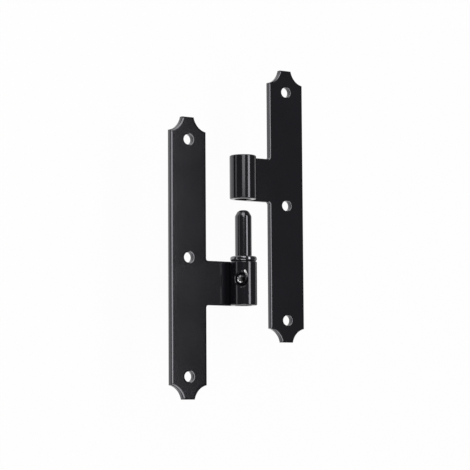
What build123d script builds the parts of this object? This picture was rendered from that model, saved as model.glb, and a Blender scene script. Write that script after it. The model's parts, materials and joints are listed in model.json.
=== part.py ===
"""Lift-off hinge with two rolled leaves.

The hinge lies open on the backs of its leaves: X runs across it, Y runs along the pin, Z points
out of the front. The origin is the middle screw hole of the frame leaf, on the mounting plane.
The door leaf is drawn lifted off the pin. Millimetres.
"""
import math
import os

from build123d import *

os.makedirs("parts", exist_ok=True)

# Leaf blanks, cut from sheet
sheet = 3.0
leaf_height = 168.0
leaf_width = 25.0
scallop_radius = 10.6
scallop_offset = 2.0
inside_fillet = 1.5
edge_chamfer = 0.4

# Tab and rolled knuckle
reach = 23.25
knuckle_length = 26.5
seam_gap = 0.2

# Screw holes on the centre line of each leaf
hole_diameter = 6.2
hole_pitch = 70.5
hole_chamfer = 0.35

# Pin, clamped in the frame knuckle and free in the door knuckle
pin_diameter = 10.0
pin_clearance = 0.08
pin_projection = 1.3
pin_inset = 0.5
pin_chamfer = 0.6
lead_length = 3.6
lead_depth = 2.0
lead_round = 3.0

# Thrust ring between the knuckles
ring_diameter = 16.0
ring_thickness = 3.0
ring_clearance = 0.08
ring_play = 0.05
ring_round = 1.2

# Set screw with a cone point, sunk in the frame knuckle
screw_diameter = 6.0
screw_length = 4.0
screw_clearance = 0.03
screw_chamfer = 0.5
screw_drop = 11.0
screw_lean = 45.0
point_flat = 1.5
point_depth = 1.5
point_angle = 90.0
socket_width = 3.0
socket_depth = 1.8
socket_lead = 0.6
socket_lead_angle = 106.0
sink_diameter = 10.6
sink_angle = 100.0

# How far the door leaf stands above its seat on the ring
lift = 34.5

# Sizes that follow
pin_radius = pin_diameter / 2
bore_radius = pin_radius + pin_clearance
knuckle_radius = bore_radius + sheet
axis_x = leaf_width / 2 + reach
axis_z = knuckle_radius
ring_gap = ring_thickness + 2 * ring_play
knuckle_top = -ring_gap / 2
knuckle_bottom = knuckle_top - knuckle_length
roll_end = 180 + math.degrees(math.asin((bore_radius - seam_gap) / knuckle_radius))
pin_axis = Axis((axis_x, 0, axis_z), (0, 1, 0))
pin_plane = Plane.XY.offset(axis_z)

# The set screw lies on a radius of the pin, leaning from the front towards the plate
lean = math.radians(screw_lean)
screw_direction = Vector(-math.sin(lean), 0, math.cos(lean))
screw_root = Vector(axis_x, knuckle_top - screw_drop, axis_z)
screw_radius = screw_diameter / 2
screw_tip = pin_radius - point_depth
screw_head = screw_tip + screw_length
point_slope = math.tan(math.radians(point_angle / 2))


def screw_plane(distance):
    """Plane across the set screw at a distance from the pin axis, facing outwards."""
    return Plane(screw_root + screw_direction * distance, x_dir=(0, 1, 0), z_dir=screw_direction)


def rolled_leaf():
    """One leaf as cut, pierced and rolled, with its tab towards +X below the middle."""
    with BuildPart() as leaf:
        with BuildSketch() as blank:
            Rectangle(leaf_width, leaf_height)
            with GridLocations(leaf_width + 2 * scallop_offset, leaf_height + 2 * scallop_offset, 2, 2):
                Circle(scallop_radius, mode=Mode.SUBTRACT)
            with Locations((leaf_width / 2, knuckle_top)):
                Rectangle(reach, knuckle_length, align=(Align.MIN, Align.MAX))
            inner_edge = blank.vertices().filter_by_position(Axis.X, leaf_width / 2, leaf_width / 2)
            inside_corners = inner_edge.filter_by_position(Axis.Y, knuckle_bottom, knuckle_top)
            fillet(inside_corners, inside_fillet)
        extrude(amount=sheet)
        with BuildSketch(Plane.XZ.offset(-knuckle_top)):
            with BuildLine():
                outside = CenterArc((axis_x, axis_z), knuckle_radius, -90, roll_end + 90)
                inside = CenterArc((axis_x, axis_z), bore_radius, -90, roll_end + 90)
                Line(outside @ 0, inside @ 0)
                Line(outside @ 1, inside @ 1)
            make_face()
        extrude(amount=knuckle_length)
        flat_edges = leaf.faces().filter_by(Axis.Z).edges()
        chamfer(flat_edges.filter_by(lambda edge: edge.center().X < axis_x - sheet), edge_chamfer)
        with Locations((0, 0, sheet)):
            with GridLocations(0, hole_pitch, 1, 3):
                CounterSinkHole(
                    radius=hole_diameter / 2,
                    counter_sink_radius=hole_diameter / 2 + hole_chamfer,
                    counter_sink_angle=90,
                )
    return leaf.part


with BuildPart() as frame_leaf:
    add(rolled_leaf())
    with Locations(screw_plane(knuckle_radius)):
        CounterSinkHole(
            radius=screw_radius + screw_clearance,
            counter_sink_radius=sink_diameter / 2,
            counter_sink_angle=sink_angle,
            depth=knuckle_radius,
        )
frame_leaf.part.label = "frame_leaf"
export_step(frame_leaf.part, "parts/frame_leaf.step")

with BuildPart() as door_leaf:
    with Locations((2 * axis_x, lift, 0)):
        add(rolled_leaf(), rotation=(0, 0, 180))
door_leaf.part.label = "door_leaf"
export_step(door_leaf.part, "parts/door_leaf.step")

with BuildPart() as pivot_pin:
    with BuildSketch(pin_plane) as pin_profile:
        pin_bottom = knuckle_bottom + pin_inset
        pin_top = ring_gap / 2 + knuckle_length + pin_projection
        pin_side = axis_x + pin_radius
        with BuildLine():
            Polyline(
                (axis_x, pin_bottom),
                (pin_side - pin_chamfer, pin_bottom),
                (pin_side, pin_bottom + pin_chamfer),
                (pin_side, pin_top - lead_length),
                (pin_side - lead_depth, pin_top),
                (axis_x, pin_top),
                close=True,
            )
        make_face()
        lead_ends = pin_profile.vertices().filter_by_position(Axis.Y, pin_top - lead_length, pin_top)
        fillet(lead_ends.sort_by(Axis.X)[1:], lead_round)
    revolve(axis=pin_axis)
    with BuildSketch(screw_plane(pin_radius)):
        Circle(point_flat / 2 + (point_depth + screw_clearance) * point_slope)
    with BuildSketch(screw_plane(screw_tip - screw_clearance)):
        Circle(point_flat / 2)
    loft(mode=Mode.SUBTRACT)
pivot_pin.part.label = "pivot_pin"
export_step(pivot_pin.part, "parts/pivot_pin.step")

with BuildPart() as thrust_ring:
    with BuildSketch(pin_plane) as ring_profile:
        ring_bore = pin_radius + ring_clearance
        with Locations((axis_x + ring_bore, 0)):
            Rectangle(ring_diameter / 2 - ring_bore, ring_thickness, align=(Align.MIN, Align.CENTER))
        outer_rims = ring_profile.vertices().group_by(Axis.X)[-1]
        fillet(outer_rims, ring_round)
    revolve(axis=pin_axis)
thrust_ring.part.label = "thrust_ring"
export_step(thrust_ring.part, "parts/thrust_ring.step")

with BuildPart() as set_screw:
    across = screw_plane(0)
    along = Plane(screw_root, x_dir=(0, 1, 0), z_dir=across.x_dir.cross(screw_direction))
    with BuildSketch(along):
        with BuildLine():
            point_height = (screw_radius - point_flat / 2) / point_slope
            lead_radius = socket_width / math.sqrt(3) + socket_lead
            Polyline(
                (0, screw_tip),
                (point_flat / 2, screw_tip),
                (screw_radius, screw_tip + point_height),
                (screw_radius, screw_head - screw_chamfer),
                (screw_radius - screw_chamfer, screw_head),
                (lead_radius, screw_head),
                (0, screw_head - lead_radius / math.tan(math.radians(socket_lead_angle / 2))),
                close=True,
            )
        make_face()
    revolve(axis=Axis(screw_root, screw_direction))
    with BuildSketch(screw_plane(screw_head)):
        RegularPolygon(socket_width / 2, 6, major_radius=False)
    extrude(amount=-socket_depth, mode=Mode.SUBTRACT)
set_screw.part.label = "set_screw"
export_step(set_screw.part, "parts/set_screw.step")
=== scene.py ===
"""Looks of a lift-off hinge: two rolled leaves, a pin, a thrust ring and a set screw, painted black.

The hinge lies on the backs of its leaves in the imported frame: X runs across it, Y along the pin and
Z out of the front. Pieces are sized in millimetres and turned into metres where their meshes are made.
Finishes and the studio are written in metres. Angles are in degrees unless a line says otherwise.
"""

import json
import logging
import math
from dataclasses import dataclass
from enum import Enum
from typing import Any, Callable, Optional, Sequence, Union

import bmesh
import bpy
from mathutils import Matrix, Vector


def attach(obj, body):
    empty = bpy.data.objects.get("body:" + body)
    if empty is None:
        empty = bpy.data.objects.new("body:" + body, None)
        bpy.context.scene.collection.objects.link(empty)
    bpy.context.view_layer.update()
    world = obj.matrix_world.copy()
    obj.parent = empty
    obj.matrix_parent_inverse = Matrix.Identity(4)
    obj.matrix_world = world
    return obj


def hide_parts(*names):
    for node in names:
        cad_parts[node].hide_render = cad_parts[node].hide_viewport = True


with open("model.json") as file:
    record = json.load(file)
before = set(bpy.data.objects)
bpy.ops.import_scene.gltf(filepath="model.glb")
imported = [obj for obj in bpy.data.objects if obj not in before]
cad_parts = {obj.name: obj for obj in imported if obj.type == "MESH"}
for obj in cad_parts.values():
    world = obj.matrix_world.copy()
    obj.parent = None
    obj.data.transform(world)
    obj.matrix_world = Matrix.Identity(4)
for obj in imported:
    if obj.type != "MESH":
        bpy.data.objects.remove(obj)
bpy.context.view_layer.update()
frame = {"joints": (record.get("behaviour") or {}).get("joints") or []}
SWING = next(joint for joint in frame["joints"] if joint["name"] == "swing")

LOG = logging.getLogger("hinge")
MM = 0.001
SHARP = 40.0
WHITE = (1.0, 1.0, 1.0, 1.0)

Point = tuple[float, float]
Place = tuple[float, float, float]
Colour = tuple[float, float, float]
Value = Union["Socket", float]
Reach = Callable[[int, float, float, float], float]


class Body(Enum):
    """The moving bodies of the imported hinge."""

    FRAME = "frame"
    RING = "ring"
    DOOR = "door"


class Slot(Enum):
    """The record's material slots."""

    LEAF = "leaf_paint"
    PIN = "pin_paint"
    RING = "ring_paint"
    SCREW = "screw_steel"


class Rim(Enum):
    """The kinds of sharp rim on the back of a leaf's blank."""

    ROLL = "roll"
    OUTLINE = "outline"
    HOLE = "hole"


class Socket:
    """An output socket of a shader node, whose operators add Math nodes."""

    def __init__(self, shader: "Shader", output: Optional[bpy.types.NodeSocket]) -> None:
        """Wraps one output of a node in a shader's tree."""
        self.shader = shader
        self.output = output

    def math(self, operation: str, first: Value, second: Value = 0.0, clamp: bool = False) -> "Socket":
        """Adds a Math node.

        Args:
            operation: the Math node's operation.
            first: its first value or link.
            second: its second value or link.
            clamp: whether the result is kept between 0 and 1.

        Returns:
            The node's result.
        """
        settings = {"operation": operation, "use_clamp": clamp}
        return self.shader.node("ShaderNodeMath", settings, {0: first, 1: second})

    def __add__(self, other: Value) -> "Socket":
        """The sum with a value or a socket."""
        return self.math("ADD", self, other)

    def __radd__(self, other: float) -> "Socket":
        """The sum with a number on the left."""
        return self.math("ADD", other, self)

    def __sub__(self, other: Value) -> "Socket":
        """The difference from a value or a socket."""
        return self.math("SUBTRACT", self, other)

    def __rsub__(self, other: float) -> "Socket":
        """The difference of a number on the left."""
        return self.math("SUBTRACT", other, self)

    def __mul__(self, other: Value) -> "Socket":
        """The product with a value or a socket."""
        return self.math("MULTIPLY", self, other)

    def __rmul__(self, other: float) -> "Socket":
        """The product with a number on the left."""
        return self.math("MULTIPLY", other, self)

    def __abs__(self) -> "Socket":
        """The value without its sign."""
        return self.math("ABSOLUTE", self)

    def clamped(self) -> "Socket":
        """The value kept between 0 and 1."""
        return self.math("ADD", self, 0.0, clamp=True)

    def rising(self, level: float, gain: float) -> "Socket":
        """A soft step that is 0 up to a level and then rises to 1 by a gain."""
        return ((self - level) * gain).clamped()


class Shader:
    """A node tree that is filled through one method."""

    NOISE_MIDDLE = 0.5
    # A Mix node has inputs and an output of the same names for each type, so its colours go by index.
    MIX_COLOURS = (6, 7)
    MIX_RESULT = 2

    def __init__(self, tree: bpy.types.NodeTree) -> None:
        """Empties a tree and keeps it."""
        tree.nodes.clear()
        self.tree = tree

    def node(
        self,
        kind: str,
        settings: Optional[dict[str, Any]] = None,
        sockets: Optional[dict[Union[str, int], Any]] = None,
        result: Union[str, int] = 0,
    ) -> Socket:
        """Adds a node.

        Args:
            kind: the node's type.
            settings: its properties, set before its sockets.
            sockets: a value or a link for each socket that isn't left as it is.
            result: the output that is wrapped.

        Returns:
            That output.
        """
        made = self.tree.nodes.new(kind)
        for name, value in (settings or {}).items():
            setattr(made, name, value)
        for name, value in (sockets or {}).items():
            if isinstance(value, Socket):
                self.tree.links.new(value.output, made.inputs[name])
            else:
                made.inputs[name].default_value = value
        return Socket(self, made.outputs[result] if made.outputs else None)

    def place(self) -> Socket:
        """The point on the piece, in metres in its own frame."""
        return self.node("ShaderNodeTexCoord", result="Object")

    def stretched(self, point: Socket, scale: Place) -> Socket:
        """A point with each axis scaled."""
        return self.node("ShaderNodeVectorMath", {"operation": "MULTIPLY"}, {0: point, 1: scale})

    def distance(self, point: Socket, other: Place) -> Socket:
        """Distance of a point from a fixed one."""
        return self.node("ShaderNodeVectorMath", {"operation": "DISTANCE"}, {0: point, 1: other}, "Value")

    def noise(self, point: Socket, per_metre: float, detail: float = 2.0, rough: float = 0.5) -> Socket:
        """Noise between 0 and 1 at a point.

        Args:
            point: where it is read.
            per_metre: its features per metre.
            detail: how many finer octaves are added.
            rough: how strong those octaves are.

        Returns:
            The noise.
        """
        sockets = {"Vector": point, "Scale": per_metre, "Detail": detail, "Roughness": rough}
        return self.node("ShaderNodeTexNoise", None, sockets)

    def blend(self, mask: Socket, low: Union[Socket, Colour], high: Union[Socket, Colour]) -> Socket:
        """Mixes two colours.

        Args:
            mask: the share of the second one.
            low: the first colour.
            high: the second colour.

        Returns:
            The mixed colour.
        """
        sockets: dict[Union[str, int], Any] = {"Factor": mask}
        for index, colour in zip(self.MIX_COLOURS, (low, high)):
            sockets[index] = colour if isinstance(colour, Socket) else (*colour, 1.0)
        settings = {"data_type": "RGBA", "clamp_factor": True}
        return self.node("ShaderNodeMix", settings, sockets, self.MIX_RESULT)

    def bump(self, height: Socket, distance: float, strength: float) -> Socket:
        """A normal from a height field."""
        sockets = {"Height": height, "Distance": distance, "Strength": strength}
        return self.node("ShaderNodeBump", None, sockets)

    def surface(self, sockets: dict[Union[str, int], Any]) -> None:
        """Ends a material with one surface that has these sockets."""
        made = self.node("ShaderNodeBsdfPrincipled", None, sockets)
        self.node("ShaderNodeOutputMaterial", None, {"Surface": made})


def new_material(name: str) -> tuple[bpy.types.Material, Shader]:
    """Makes an empty material.

    Args:
        name: its name.

    Returns:
        The material and its shader.
    """
    material = bpy.data.materials.new(name)
    material.use_nodes = True
    return material, Shader(material.node_tree)


@dataclass(frozen=True)
class PaintedGlintStreak:
    """Bright uncoated steel beside the sunk hole that paints a highlight at its lip: a stretch of a thin
    round shell.
    """

    centre: Place = (0.0265, -0.01155, 0.01025)
    radius: float = 0.0083
    thickness: float = 0.0008
    middle: Place = (0.0325, -0.0093, 0.01548)
    reach: float = 0.0026
    fade: float = 1800.0
    strength: float = 3.0
    grain_per_metre: float = 2600.0
    grain_level: float = 0.8
    # Colour of the painted highlight, made as uncoated steel.
    steel: Colour = (0.92, 0.92, 0.93)
    dulling: float = 0.3

    def mask(self, shader: Shader, point: Socket) -> Socket:
        """Finds where the painted highlight lies.

        Args:
            shader: the paint's shader.
            point: where it is read.

        Returns:
            1 on the uncoated steel of the painted highlight and 0 on whole paint.
        """
        off = abs(shader.distance(point, self.centre) - self.radius)
        shell = (1.0 - off * (1 / self.thickness)).clamped()
        near = ((self.reach - shader.distance(point, self.middle)) * self.fade).clamped()
        grain = shader.noise(point, self.grain_per_metre) - self.grain_level
        return (shell * near * self.strength + grain).clamped()


@dataclass(frozen=True)
class Paint:
    """Black stoving paint on steel: fine orange peel, slow changes of gloss and a few dull specks."""

    name: str
    dark: Colour = (0.0063, 0.006, 0.0082)
    light: Colour = (0.0106, 0.01, 0.0136)
    sheen: tuple[float, float, float, float] = (0.95, 0.94, 1.0, 1.0)
    ior: float = 1.7
    rough: float = 0.12
    cloud_per_metre: float = 42.0
    cloud_dulling: float = 0.05
    cloud_share: float = 0.6
    peel_per_metre: float = 620.0
    peel_octaves: float = 3.0
    peel_fineness: float = 0.45
    peel_height: float = 0.000012
    peel_strength: float = 0.08
    peel_dulling: float = 0.02
    speck_per_metre: float = 2600.0
    speck_octaves: float = 1.0
    speck_level: float = 0.66
    speck_gain: float = 9.0
    speck_dulling: float = 0.06
    turned: bool = False
    turning_per_metre: float = 2400.0
    turning_stretch: Place = (0.02, 1.0, 0.02)
    turning_share: float = 0.4
    # An optional strip of bright uncoated steel that paints a highlight.
    glint_streak: Optional[PaintedGlintStreak] = None

    def height(self, shader: Shader, point: Socket, peel: Socket) -> Socket:
        """Finds the height of the paint's surface.

        Args:
            shader: the paint's shader.
            point: where it is read.
            peel: the orange peel there.

        Returns:
            The peel alone, or with turning marks round the pin's axis.
        """
        if not self.turned:
            return peel
        marks = shader.noise(shader.stretched(point, self.turning_stretch), self.turning_per_metre)
        return peel * (1 - self.turning_share) + marks * self.turning_share

    def build(self) -> bpy.types.Material:
        """Makes the paint.

        Returns:
            Its material.
        """
        material, shader = new_material(self.name)
        point = shader.place()
        peel = shader.noise(point, self.peel_per_metre, self.peel_octaves, self.peel_fineness)
        cloud = shader.noise(point, self.cloud_per_metre)
        specks = shader.noise(point, self.speck_per_metre, self.speck_octaves)
        specks = specks.rising(self.speck_level, self.speck_gain)
        rough = self.rough + (cloud - shader.NOISE_MIDDLE) * self.cloud_dulling
        rough = rough + specks * self.speck_dulling + (peel - shader.NOISE_MIDDLE) * self.peel_dulling
        tone = cloud * self.cloud_share + specks * (1 - self.cloud_share)
        colour = shader.blend(tone, self.dark, self.light)
        height = self.height(shader, point, peel)
        sockets = {
            "Base Color": colour,
            "Roughness": rough,
            "IOR": self.ior,
            "Specular Tint": self.sheen,
            "Normal": shader.bump(height, self.peel_height, self.peel_strength),
        }
        # Paints a highlight as bright uncoated steel where the strip lies.
        if self.glint_streak is not None:
            painted_glint_mask = self.glint_streak.mask(shader, point)
            sockets["Base Color"] = shader.blend(painted_glint_mask, colour, self.glint_streak.steel)
            sockets["Metallic"] = painted_glint_mask
            sockets["Roughness"] = rough + painted_glint_mask * self.glint_streak.dulling
        shader.surface(sockets)
        return material


@dataclass(frozen=True)
class BlackenedSteel:
    """Blackened steel of the set screw, with a painted highlight: brighter steel in patches round its socket.
    """

    name: str
    dark: Colour = (0.02, 0.02, 0.022)
    # Colour of the painted highlight in the socket.
    bright: Colour = (0.42, 0.42, 0.43)
    rough: float = 0.3
    middle: Place = (0.02995, -0.01255, 0.01289)
    glint_reach: float = 0.002425
    glint_fade: float = 4000.0
    glint_per_metre: float = 1100.0
    glint_octaves: float = 3.0
    glint_fineness: float = 0.6
    glint_level: float = 0.42
    glint_gain: float = 6.0
    glint_polish: float = 0.08
    grain_per_metre: float = 5200.0
    grain_dulling: float = 0.2
    grain_height: float = 0.00002
    grain_strength: float = 0.35

    def build(self) -> bpy.types.Material:
        """Makes the steel.

        Returns:
            Its material.
        """
        material, shader = new_material(self.name)
        point = shader.place()
        # Painted highlight: the steel is brighter in random patches within a small round area at the socket,
        # standing in for a glint.
        inside = ((self.glint_reach - shader.distance(point, self.middle)) * self.glint_fade).clamped()
        painted_glint = shader.noise(point, self.glint_per_metre, self.glint_octaves, self.glint_fineness)
        painted_glint = painted_glint.rising(self.glint_level, self.glint_gain) * inside
        grain = shader.noise(point, self.grain_per_metre)
        rough = self.rough + (grain - shader.NOISE_MIDDLE) * self.grain_dulling - painted_glint * self.glint_polish
        sockets = {
            "Base Color": shader.blend(painted_glint, self.dark, self.bright),
            "Metallic": 1.0,
            "Roughness": rough,
            "Normal": shader.bump(grain, self.grain_height, self.grain_strength),
        }
        shader.surface(sockets)
        return material


def add_object(name: str, data: bpy.types.ID) -> bpy.types.Object:
    """Puts a mesh, a lamp or a camera in the scene.

    Args:
        name: the object's name.
        data: what it shows.

    Returns:
        The object.
    """
    made = bpy.data.objects.new(name, data)
    bpy.context.scene.collection.objects.link(made)
    return made


def mesh_of(name: str, grid: bmesh.types.BMesh, sharp: float = SHARP) -> bpy.types.Mesh:
    """Turns an edit mesh into a smooth mesh.

    Args:
        name: the mesh's name.
        grid: the edit mesh, which is freed.
        sharp: the angle over which an edge stays sharp.

    Returns:
        The mesh.
    """
    bmesh.ops.recalc_face_normals(grid, faces=grid.faces)
    mesh = bpy.data.meshes.new(name)
    grid.to_mesh(mesh)
    grid.free()
    mesh.shade_smooth()
    mesh.set_sharp_from_angle(angle=math.radians(sharp))
    return mesh


def keep_flat(piece: bpy.types.Object, square: float = 0.999995, weight: int = 100) -> None:
    """Keeps rounded edges from bending the shading of the large faces beside them.

    Args:
        piece: the piece.
        square: the cosine between a face's normal and an axis over which the face counts as flat.
        weight: how much a large face counts for, 100 being the most.
    """
    for face in piece.data.polygons:
        if max(abs(part) for part in face.normal) > square:
            face.use_smooth = False
    weighted = piece.modifiers.new("large_faces", "WEIGHTED_NORMAL")
    weighted.keep_sharp = True
    weighted.weight = weight


def set_in_place(
    piece: bpy.types.Object, node: str, body: Body, finish: bpy.types.Material
) -> bpy.types.Object:
    """Dresses a piece and sets it in place of its solid.

    Args:
        piece: the piece.
        node: the solid that it stands for.
        body: the body that it rides on.
        finish: its material.

    Returns:
        The piece.
    """
    piece.data.materials.clear()
    piece.data.materials.append(finish)
    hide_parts(node)
    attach(piece, body.value)
    return piece


def arc(centre: Point, radius: float, start: float, end: float, steps: int) -> list[Point]:
    """Points along an arc.

    Args:
        centre: its centre.
        radius: its radius.
        start: the angle where it starts.
        end: the angle where it ends.
        steps: how many chords it has.

    Returns:
        The points, both ends included.
    """
    angles = [math.radians(start + (end - start) * step / steps) for step in range(steps + 1)]
    return [(centre[0] + radius * math.cos(a), centre[1] + radius * math.sin(a)) for a in angles]


@dataclass(frozen=True)
class Lathe:
    """Turns a profile of radius and height round an axis."""

    segments: int
    sharp: float = SHARP

    def mesh(
        self, name: str, profile: Sequence[Point], place: Matrix, reach: Optional[Reach] = None
    ) -> bpy.types.Mesh:
        """Turns a profile.

        Args:
            name: the mesh's name.
            profile: pairs of radius and height in millimetres, from one end to the other.
            place: the axis frame in millimetres, whose Z is the axis.
            reach: gives a radius by its row, its radius in the profile, its height and its angle in radians.

        Returns:
            The mesh, in metres.
        """
        grid = bmesh.new()
        rows = []
        for row, (size, height) in enumerate(profile):
            if size == 0:
                rows.append([grid.verts.new(place @ Vector((0, 0, height)) * MM)])
                continue
            ring = []
            for step in range(self.segments):
                angle = math.tau * step / self.segments
                radius = reach(row, size, height, angle) if reach else size
                spot = Vector((radius * math.cos(angle), radius * math.sin(angle), height))
                ring.append(grid.verts.new(place @ spot * MM))
            rows.append(ring)
        bands = list(zip(rows, rows[1:]))
        if len(rows[0]) > 1 and len(rows[-1]) > 1:
            bands.append((rows[-1], rows[0]))
        for low, high in bands:
            for step in range(self.segments):
                after = (step + 1) % self.segments
                turns = ((low, step), (low, after), (high, after), (high, step))
                corners = [ring[turn % len(ring)] for ring, turn in turns]
                grid.faces.new(list(dict.fromkeys(corners)))
        return mesh_of(name, grid, self.sharp)


@dataclass(frozen=True)
class Knuckle:
    """The roll of sheet round the pin, which the other pieces take their places from."""

    sheet: float = 3.0
    bore: float = 5.08
    seam: float = 0.2
    axis_x: float = SWING["pos_m"][0] / MM

    @property
    def crown(self) -> float:
        """Outer radius of the roll, and height of the pin's axis over the backs of the leaves."""
        return self.bore + self.sheet

    @property
    def middle(self) -> float:
        """Radius of the middle of the sheet."""
        return self.bore + self.sheet / 2

    @property
    def length(self) -> float:
        """Length of the blank that goes into the roll, which ends at the seam over the sheet."""
        return self.middle * (1.5 * math.pi + math.asin((self.bore - self.seam) / self.crown))


@dataclass(frozen=True)
class Rounding:
    """A rounded edge: how wide it is, and in how many steps it is made."""

    width: float
    steps: int
    profile: float = 0.5


@dataclass(frozen=True)
class RollOver:
    """A front edge as the press leaves it: how wide it is, and how far it drops at its rim."""

    width: float
    depth: float
    insets: tuple[float, ...] = (0.0, 0.03, 0.11, 0.23, 0.4, 0.6, 0.8, 1.0)

    def drop(self, inset: float) -> float:
        """How far the edge lies under the front at a share of its width."""
        return self.depth * (1 - math.sqrt(1 - (1 - inset) ** 2))


@dataclass
class Leaf:
    """One leaf: a pierced sheet blank with scalloped ends and a tab rolled into a knuckle."""

    node: str
    body: Body
    turned: bool
    knuckle: Knuckle = Knuckle()
    height: float = 168.0
    width: float = 25.0
    scallop: float = 10.6
    scallop_out: float = 2.0
    corner: float = 1.5
    tab_top: float = -1.55
    tab_bottom: float = -28.05
    hole: float = 3.1
    pitch: float = 70.5
    lift: float = 34.5
    outline_press: RollOver = RollOver(width=1.5, depth=0.3)
    hole_press: RollOver = RollOver(width=1.0, depth=0.25)
    roll_edge: Rounding = Rounding(width=0.8, steps=5)
    outline_edge: Rounding = Rounding(width=0.3, steps=3)
    hole_edge: Rounding = Rounding(width=0.35, steps=2)
    scallop_steps: int = 20
    corner_steps: int = 8
    hole_steps: int = 28
    roll_steps: int = 96
    rim_angle: float = 35.0
    slack: float = 0.01
    digits: int = 5

    @property
    def hole_rows(self) -> tuple[float, ...]:
        """Heights of the three screw holes on the centre line."""
        return (-self.pitch, 0.0, self.pitch)

    def half_outline(self, side: int) -> list[Point]:
        """Outline of one half of the blank.

        Args:
            side: 1 for the half with the tab, -1 for the other.

        Returns:
            Its points, down the outside and up the centre line round the holes.
        """
        half, top, axis = self.width / 2, self.height / 2, self.knuckle.axis_x
        out = self.scallop_out
        short = math.degrees(math.asin(out / self.scallop))
        upper = arc((half + out, top + out), self.scallop, 180 + short, 270 - short, self.scallop_steps)
        lower = arc((half + out, -top - out), self.scallop, 90 + short, 180 - short, self.scallop_steps)
        tab: list[Point] = []
        if side > 0:
            inside = half + self.corner
            tab = arc((inside, self.tab_top + self.corner), self.corner, 180, 270, self.corner_steps)
            tab += [(axis, self.tab_top), (axis, self.tab_bottom)]
            tab += arc((inside, self.tab_bottom - self.corner), self.corner, 90, 180, self.corner_steps)
        points = [(0.0, top), *upper, *tab, *lower, (0.0, -top)]
        for row in self.hole_rows:
            points += arc((0.0, row), self.hole, -90, 90, self.hole_steps)
        return [(side * x, y) for x, y in points]

    def blank(self) -> bmesh.types.BMesh:
        """Makes the flat blank with rounded edges, its tab as long as the roll needs.

        Returns:
            The edit mesh, in millimetres.
        """
        grid = bmesh.new()
        corners: dict[Point, bmesh.types.BMVert] = {}

        def corner(x: float, y: float) -> bmesh.types.BMVert:
            """The one vertex at a place on the back."""
            key = (round(x, self.digits), round(y, self.digits))
            return corners[key] if key in corners else corners.setdefault(key, grid.verts.new((x, y, 0.0)))

        loops = [self.half_outline(1), self.half_outline(-1)]
        step = self.knuckle.length / self.roll_steps
        stops = [self.knuckle.axis_x + step * count for count in range(self.roll_steps + 1)]
        top, bottom = self.tab_top, self.tab_bottom
        for near, far in zip(stops, stops[1:]):
            loops.append([(near, top), (far, top), (far, bottom), (near, bottom)])
        self.press(grid, [grid.faces.new([corner(x, y) for x, y in loop]) for loop in loops])
        bmesh.ops.recalc_face_normals(grid, faces=grid.faces)
        edges = {Rim.ROLL: self.roll_edge, Rim.OUTLINE: self.outline_edge, Rim.HOLE: self.hole_edge}
        for rim, edge in edges.items():
            lines = [line for line in grid.edges if self.rim(line) is rim]
            bmesh.ops.bevel(
                grid, geom=lines, offset=edge.width, segments=edge.steps, profile=edge.profile, affect="EDGES"
            )
        return grid

    def pierced(self, point: Vector) -> bool:
        """Whether a point of the blank lies on the rim of a screw hole."""
        return min(math.hypot(point.x, point.y - row) for row in self.hole_rows) < self.hole + self.slack

    def rim(self, edge: bmesh.types.BMEdge) -> Optional[Rim]:
        """Tells the sharp rims of the blank's back from its other edges.

        Args:
            edge: an edge of the blank.

        Returns:
            The kind of rim, or nothing for another edge.
        """
        ends = [vert.co for vert in edge.verts]
        bend = math.degrees(edge.calc_face_angle(0.0))
        if max(end.z for end in ends) > self.slack or bend < self.rim_angle:
            return None
        if self.pierced((ends[0] + ends[1]) / 2):
            return Rim.HOLE
        return Rim.ROLL if min(end.x for end in ends) > self.knuckle.axis_x - self.slack else Rim.OUTLINE

    def press(self, grid: bmesh.types.BMesh, backs: Sequence[bmesh.types.BMFace]) -> None:
        """Adds the sides and the front of the blank, its front edges rolled over as a press leaves them.

        Args:
            grid: the blank, which holds only its back.
            backs: the faces of the back.
        """
        rims = [edge for edge in grid.edges if edge.is_boundary]
        inwards: dict[bmesh.types.BMVert, list[Vector]] = {}
        for face in backs:
            face.normal_update()
        for rim in rims:
            loop = rim.link_loops[0]
            way = loop.face.normal.cross(loop.link_loop_next.vert.co - loop.vert.co).normalized()
            for vert in rim.verts:
                inwards.setdefault(vert, []).append(way)
        sheet = self.knuckle.sheet
        columns: dict[bmesh.types.BMVert, list[bmesh.types.BMVert]] = {}
        for vert in list(grid.verts):
            columns[vert] = [vert]
            if vert not in inwards:
                columns[vert].append(grid.verts.new(vert.co + Vector((0, 0, sheet))))
                continue
            edge = self.hole_press if self.pierced(vert.co) else self.outline_press
            first, second = inwards[vert]
            way = (first + second) / (1 + first.dot(second))
            for inset in edge.insets:
                spot = vert.co + way * inset * edge.width + Vector((0, 0, sheet - edge.drop(inset)))
                columns[vert].append(grid.verts.new(spot))
        for face in backs:
            grid.faces.new([columns[vert][-1] for vert in face.verts])
        for rim in rims:
            left, right = (columns[vert] for vert in rim.verts)
            for row in range(len(left) - 1):
                grid.faces.new([left[row], right[row], right[row + 1], left[row + 1]])

    def roll(self, grid: bmesh.types.BMesh) -> None:
        """Rolls the tab of a blank round the pin's axis.

        Args:
            grid: the blank.
        """
        axis, crown = self.knuckle.axis_x, self.knuckle.crown
        for vert in grid.verts:
            turn = (vert.co.x - axis) / self.knuckle.middle
            if turn > 0:
                radius = crown - vert.co.z
                vert.co.x = axis + radius * math.sin(turn)
                vert.co.z = crown - radius * math.cos(turn)

    def place(self) -> Matrix:
        """Finds where the leaf lies.

        Returns:
            Its frame in millimetres, which for the door leaf is turned half round and lifted.
        """
        if not self.turned:
            return Matrix.Identity(4)
        lifted = Matrix.Translation((2 * self.knuckle.axis_x, self.lift, 0))
        return lifted @ Matrix.Rotation(math.pi, 4, "Z")

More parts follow.
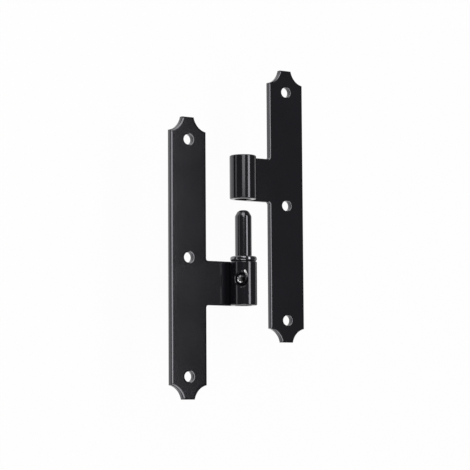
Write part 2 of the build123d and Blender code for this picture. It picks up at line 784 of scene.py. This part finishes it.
    def bore(self, piece: bpy.types.Object, cutter: bpy.types.Object) -> None:
        """Bores a hole out of the leaf.

        Args:
            piece: the leaf.
            cutter: the body of the hole, which is used up.
        """
        cut = piece.modifiers.new("bored", "BOOLEAN")
        cut.operation, cut.solver, cut.object = "DIFFERENCE", "EXACT", cutter
        whole = piece.data
        graph = bpy.context.evaluated_depsgraph_get()
        piece.data = bpy.data.meshes.new_from_object(piece.evaluated_get(graph))
        piece.modifiers.clear()
        piece.data.set_sharp_from_angle(angle=math.radians(SHARP))
        bpy.data.meshes.remove(whole)
        bpy.data.objects.remove(cutter)

    def build(self, paint: bpy.types.Material, cutter: Optional[bpy.types.Object] = None) -> bpy.types.Object:
        """Makes the leaf and sets it in place of its solid.

        Args:
            paint: the leaf's paint.
            cutter: what is bored out of it.

        Returns:
            The piece.
        """
        name = f"{self.node}_rolled"
        grid = self.blank()
        self.roll(grid)
        grid.transform(Matrix.Scale(MM, 4) @ self.place())
        piece = add_object(name, mesh_of(name, grid))
        if cutter is not None:
            self.bore(piece, cutter)
        keep_flat(piece)
        return set_in_place(piece, self.node, self.body, paint)


@dataclass
class SetScrew:
    """Socket set screw with a cone point, and the sunk hole that it stands in."""

    knuckle: Knuckle = Knuckle()
    drop: float = 12.55
    lean: float = 45.0
    major: float = 3.0
    minor: float = 2.46
    pitch: float = 1.0
    flank: float = 1.35
    root: float = 0.15
    tip: float = 3.5
    head: float = 7.5
    flat: float = 0.75
    crest: float = 0.5
    key: float = 3.0
    key_depth: float = 1.8
    drill_point: float = 0.45
    lead: float = 0.6
    lead_depth: float = 0.5
    hole: float = 3.03
    hole_bottom: float = 0.5
    sink: float = 5.3
    sink_angle: float = 100.0
    sink_clear: float = 2.0
    rows_per_pitch: int = 14
    lathe: Lathe = Lathe(72, sharp=28.0)
    hole_lathe: Lathe = Lathe(64)

    def place(self) -> Matrix:
        """The screw's own frame, whose Z points out of the knuckle from the pin's axis."""
        lean = Matrix.Rotation(-math.radians(self.lean), 4, "Y")
        return Matrix.Translation((self.knuckle.axis_x, -self.drop, self.knuckle.crown)) @ lean

    def cutter(self) -> bpy.types.Object:
        """Makes the body that bores the sunk hole.

        Returns:
            The body, which the leaf uses up.
        """
        crown = self.knuckle.crown
        outside = crown + self.sink_clear
        slope = math.tan(math.radians(self.sink_angle / 2))
        mouth = self.sink + self.sink_clear * slope
        neck = crown - (self.sink - self.hole) / slope
        profile = [(0.0, self.hole_bottom), (self.hole, self.hole_bottom), (self.hole, neck)]
        profile += [(mouth, outside), (0.0, outside)]
        return add_object("sink_cutter", self.hole_lathe.mesh("sink_cutter", profile, self.place()))

    def key_radius(self, angle: float) -> float:
        """Radius of the hexagon socket at an angle in radians."""
        sixth = math.pi / 3
        return self.key / 2 / math.cos((angle + sixth / 2) % sixth - sixth / 2)

    def thread_radius(self, height: float, angle: float) -> float:
        """Finds the radius of the thread between its point and its chamfered head.

        Args:
            height: the height along the screw.
            angle: the angle round it in radians.

        Returns:
            The radius.
        """
        turn = ((height - self.tip) / self.pitch - angle / math.tau) % 1.0
        ridge = min(1.0, max(0.0, self.flank * abs(2 * turn - 1) - self.root))
        point = self.flat + height - self.tip
        rim = self.major - self.crest + self.head - height
        return min(self.minor + (self.major - self.minor) * ridge, point, rim)

    def build(self, steel: bpy.types.Material) -> bpy.types.Object:
        """Makes the threaded screw and sets it in place of its solid.

        Args:
            steel: the screw's steel.

        Returns:
            The piece.
        """
        lead = self.key / math.sqrt(3) + self.lead
        shank, floor = self.head - self.tip, self.head - self.key_depth
        count = round(shank / self.pitch * self.rows_per_pitch)
        profile: list[Point] = [(0.0, self.tip), (self.flat, self.tip)]
        thread = range(len(profile), len(profile) + count - 1)
        profile += [(self.major, self.tip + shank * step / count) for step in range(1, count)]
        profile += [(self.major - self.crest, self.head), (lead, self.head)]
        socket = range(len(profile), len(profile) + 2)
        profile += [(lead, self.head - self.lead_depth), (lead, floor), (0.0, floor - self.drill_point)]

        def reach(row: int, size: float, height: float, angle: float) -> float:
            """Finds the radius of the thread, the socket or the plain profile.

            Args:
                row: the row of the profile.
                size: the profile's own radius there.
                height: the height along the screw.
                angle: the angle round it in radians.

            Returns:
                The radius.
            """
            if row in thread:
                return self.thread_radius(height, angle)
            return self.key_radius(angle) if row in socket else size

        mesh = self.lathe.mesh("set_screw_threaded", profile, self.place(), reach)
        piece = add_object("set_screw_threaded", mesh)
        return set_in_place(piece, "set_screw", Body.FRAME, steel)


@dataclass
class Pivot:
    """The pin with its rounded end, and the thrust ring that turns on it."""

    knuckle: Knuckle = Knuckle()
    pin: float = 5.0
    pin_low: float = -27.55
    pin_high: float = 29.35
    pin_chamfer: float = 0.6
    lead_length: float = 3.6
    lead_depth: float = 2.0
    lead_round: float = 3.0
    ring: float = 8.0
    ring_half: float = 1.5
    ring_round: float = 1.2
    bore_break: float = 0.3
    lead_steps: int = 8
    round_steps: int = 12
    lathe: Lathe = Lathe(128)

    def place(self) -> Matrix:
        """The pin's own frame, whose Z runs along the pin."""
        axis = Matrix.Translation((self.knuckle.axis_x, 0, self.knuckle.crown))
        return axis @ Matrix.Rotation(-math.pi / 2, 4, "X")

    def turn(self, name: str, profile: Sequence[Point]) -> bpy.types.Object:
        """Turns a piece on the pin's axis.

        Args:
            name: the piece's name.
            profile: pairs of radius and height.

        Returns:
            The piece.
        """
        piece = add_object(name, self.lathe.mesh(name, profile, self.place()))
        keep_flat(piece)
        return piece

    def build_pin(self, paint: bpy.types.Material) -> bpy.types.Object:
        """Makes the pin and sets it in place of its solid.

        Args:
            paint: the pin's paint.

        Returns:
            The piece.
        """
        slope = math.degrees(math.atan2(self.lead_depth, self.lead_length))
        start = self.lead_round * math.tan(math.radians(slope / 2))
        end = self.lead_round * math.tan(math.radians(45 - slope / 2))
        foot = (self.pin - self.lead_round, self.pin_high - self.lead_length - start)
        crown = (self.pin - self.lead_depth - end, self.pin_high - self.lead_round)
        lead = arc(foot, self.lead_round, 0, slope, self.lead_steps)
        lead += arc(crown, self.lead_round, slope, 90, self.round_steps)
        profile = [(0.0, self.pin_low), (self.pin - self.pin_chamfer, self.pin_low)]
        profile += [(self.pin, self.pin_low + self.pin_chamfer), *lead, (0.0, self.pin_high)]
        piece = self.turn("pivot_pin_turned", profile)
        return set_in_place(piece, "pivot_pin", Body.FRAME, paint)

    def build_ring(self, paint: bpy.types.Material) -> bpy.types.Object:
        """Makes the thrust ring and sets it in place of its solid.

        Args:
            paint: the ring's paint.

        Returns:
            The piece.
        """
        half, bore = self.ring_half, self.knuckle.bore
        inset = self.ring - self.ring_round
        lower = arc((inset, self.ring_round - half), self.ring_round, -90, 0, self.round_steps)
        upper = arc((inset, half - self.ring_round), self.ring_round, 0, 90, self.round_steps)
        profile = [(bore, self.bore_break - half), (bore + self.bore_break, -half), *lower, *upper]
        profile += [(bore + self.bore_break, half), (bore, half - self.bore_break)]
        piece = self.turn("thrust_ring_turned", profile)
        return set_in_place(piece, "thrust_ring", Body.RING, paint)


@dataclass(frozen=True)
class Softbox:
    """A rectangular lamp seen from the hinge at two angles."""

    name: str
    across: float
    along: float
    width: float
    length: float
    radiance: float
    distance: float = 1.0
    aim: Place = (0.036, 0.017, 0.008)

    def build(self) -> bpy.types.Object:
        """Makes the lamp, turned to the hinge with its length along the pin.

        Returns:
            The lamp.
        """
        across, along = math.radians(self.across), math.radians(self.along)
        level = math.cos(along)
        out = Vector((math.sin(across) * level, math.sin(along), math.cos(across) * level))
        side = Vector((0, 1, 0)).cross(out).normalized()
        lamp = bpy.data.lights.new(self.name, "AREA")
        lamp.shape = "RECTANGLE"
        lamp.size, lamp.size_y = self.width, self.length
        lamp.energy = self.radiance * math.pi * self.width * self.length
        made = add_object(self.name, lamp)
        made.location = Vector(self.aim) + out * self.distance
        made.rotation_euler = Matrix((side, out.cross(side), out)).transposed().to_euler()
        made.visible_camera = False
        return made


@dataclass
class Studio:
    """White floor, soft lamps and the camera."""

    floor_drop: float = 0.045
    floor_half: float = 12.0
    floor_cells: int = 8
    paper_dark: Colour = (0.9, 0.9, 0.9)
    paper_light: Colour = (0.93, 0.93, 0.93)
    paper_per_metre: float = 60.0
    paper_octaves: float = 3.0
    glow: float = 0.965
    room: float = 0.095
    eye: Place = (-0.5903, -0.0875, 0.9305)
    yaw: float = -33.908
    pitch: float = 5.227
    roll: float = -0.356
    lens: float = 142.6
    sensor: float = 36.0
    nearest: float = 0.01
    farthest: float = 100.0
    lamps: Sequence[Softbox] = (
        Softbox("key_box", across=19.0, along=5.0, width=0.29, length=1.1, radiance=4.3),
        Softbox("left_box", across=-28.0, along=24.0, width=0.42, length=0.6, radiance=2.3),
        Softbox("left_spot", across=-33.0, along=55.0, width=0.6, length=0.5, radiance=2.8),
        Softbox("foot_spot", across=-35.0, along=-51.0, width=0.6, length=0.5, radiance=2.8),
    )

    def build_floor(self) -> bpy.types.Object:
        """Lays the floor, white to the eye and in reflections, with the hinge's shadow kept.

        Returns:
            The floor.
        """
        grid = bmesh.new()
        cells = self.floor_cells
        bmesh.ops.create_grid(grid, x_segments=cells, y_segments=cells, size=self.floor_half)
        floor = add_object("floor", mesh_of("floor", grid))
        floor.location.z = -self.floor_drop
        material, shader = new_material("white_floor")
        paper = shader.noise(shader.place(), self.paper_per_metre, self.paper_octaves)
        white = shader.blend(paper, self.paper_dark, self.paper_light)
        matte = shader.node("ShaderNodeBsdfDiffuse", None, {"Color": white})
        light = shader.node("ShaderNodeEmission", None, {"Color": WHITE, "Strength": 1.0})
        shown = shader.node("ShaderNodeMixShader", None, {0: self.glow, 1: matte, 2: light})
        camera = shader.node("ShaderNodeLightPath", result="Is Camera Ray")
        glossy = shader.node("ShaderNodeLightPath", result="Is Glossy Ray")
        through = shader.node("ShaderNodeLightPath", result="Is Transmission Ray")
        seen = (camera + glossy + through).clamped()
        surface = shader.node("ShaderNodeMixShader", None, {0: seen, 1: matte, 2: shown})
        shader.node("ShaderNodeOutputMaterial", None, {"Surface": surface})
        floor.data.materials.append(material)
        return floor

    def build_room(self) -> bpy.types.World:
        """Fills the room with even grey light, white where the camera looks past the floor.

        Returns:
            The world.
        """
        world = bpy.data.worlds.new("room")
        world.use_nodes = True
        shader = Shader(world.node_tree)
        camera = shader.node("ShaderNodeLightPath", result="Is Camera Ray")
        level = camera * (1.0 - self.room) + self.room
        light = shader.node("ShaderNodeBackground", None, {"Color": WHITE, "Strength": level})
        shader.node("ShaderNodeOutputWorld", None, {"Surface": light})
        bpy.context.scene.world = world
        return world

    def build_camera(self) -> bpy.types.Object:
        """Sets the camera where the photograph was taken from.

        Returns:
            The camera.
        """
        lens = bpy.data.cameras.new("camera")
        lens.lens, lens.sensor_width = self.lens, self.sensor
        lens.clip_start, lens.clip_end = self.nearest, self.farthest
        camera = add_object("camera", lens)
        camera.location = self.eye
        camera.rotation_mode = "ZXY"
        camera.rotation_euler = [math.radians(turn) for turn in (self.pitch, self.yaw, self.roll)]
        bpy.context.scene.camera = camera
        return camera

    def build(self) -> list[bpy.types.Object]:
        """Makes the whole studio and gives its objects."""
        self.build_room()
        return [self.build_floor(), self.build_camera(), *(lamp.build() for lamp in self.lamps)]


def main() -> None:
    """Builds the studio and the hinge's pieces in order."""
    logging.basicConfig(level=logging.INFO, format="%(name)s: %(message)s")
    bpy.context.scene.view_settings.view_transform = "Standard"
    # The leaf paint carries the painted highlight beside the sunk hole.
    leaf_paint = Paint(Slot.LEAF.value, glint_streak=PaintedGlintStreak()).build()
    pin_paint = Paint(Slot.PIN.value, ior=1.85, turned=True).build()
    ring_paint = Paint(Slot.RING.value, rough=0.1, ior=2.5, turned=True).build()
    steel = BlackenedSteel(Slot.SCREW.value).build()
    screw = SetScrew()
    pivot = Pivot()
    made = Studio().build()
    made.append(Leaf("frame_leaf", Body.FRAME, turned=False).build(leaf_paint, screw.cutter()))
    made.append(Leaf("door_leaf", Body.DOOR, turned=True).build(leaf_paint))
    made.append(pivot.build_pin(pin_paint))
    made.append(pivot.build_ring(ring_paint))
    made.append(screw.build(steel))
    for piece in made:
        LOG.info("%s with %d vertices", piece.name, len(getattr(piece.data, "vertices", ())))


if __name__ == "__main__":
    main()
